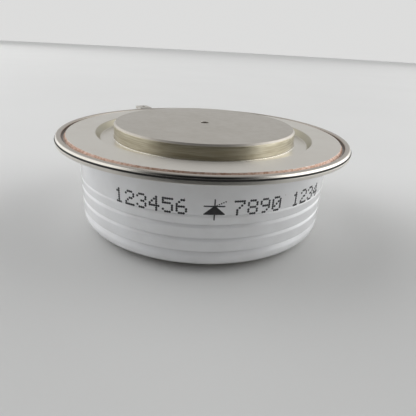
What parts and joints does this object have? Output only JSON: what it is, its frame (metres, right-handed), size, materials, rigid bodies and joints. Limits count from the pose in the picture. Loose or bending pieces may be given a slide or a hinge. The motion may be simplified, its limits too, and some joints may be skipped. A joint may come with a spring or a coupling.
{
  "type": "thyristor module",
  "caption": "Disc thyristor in a sealed white ceramic capsule with a welded metal rim and flat plated contact faces, for clamping between heat sinks.",
  "frame": {"origin": "centre of the lower (anode) contact face, on the capsule's axis", "axes": "+Z along the axis to the upper (cathode) contact face; both terminals point 122 degrees anticlockwise from +X, seen from above"},
  "size_m": [0.075, 0.0757, 0.026],
  "materials": {
    "satin_nickel": "satin nickel plate on copper, fine turned lines",
    "flange_nickel": "nickel plate on copper sheet, satin plate and bright rim",
    "silver_braze": "bright braze",
    "white_ceramic": "glazed white alumina",
    "molybdenum": "lapped",
    "silicon": "polished",
    "clear_silicone": "soft gloss",
    "white_plastic": "matte fluoropolymer",
    "silver_plate": "silver plate",
    "spring_steel": "bright spring steel",
    "terminal_nickel": "nickel plate on brass"
  },
  "bodies": {
    "root": {"cathode_pole": "satin_nickel", "cathode_braze_ring": "silver_braze", "cathode_flange": "flange_nickel", "housing_flange": "flange_nickel", "ceramic_ring": "white_ceramic", "anode_pole": "satin_nickel", "anode_flange": "flange_nickel", "anode_braze_ring": "silver_braze", "anode_molybdenum_disc": "molybdenum", "silicon_wafer": "silicon", "cathode_molybdenum_disc": "molybdenum", "passivation_ring": "clear_silicone", "locating_ring": "white_plastic", "gate_contact_pin": "silver_plate", "gate_disc_springs": "spring_steel", "gate_sleeve": "white_plastic", "gate_lead": "silver_plate", "gate_lead_sleeve": "white_plastic", "gate_tube": "terminal_nickel", "gate_tube_collar": "silver_braze", "gate_terminal": "terminal_nickel", "cathode_terminal": "terminal_nickel"}
  },
  "joints": []
}
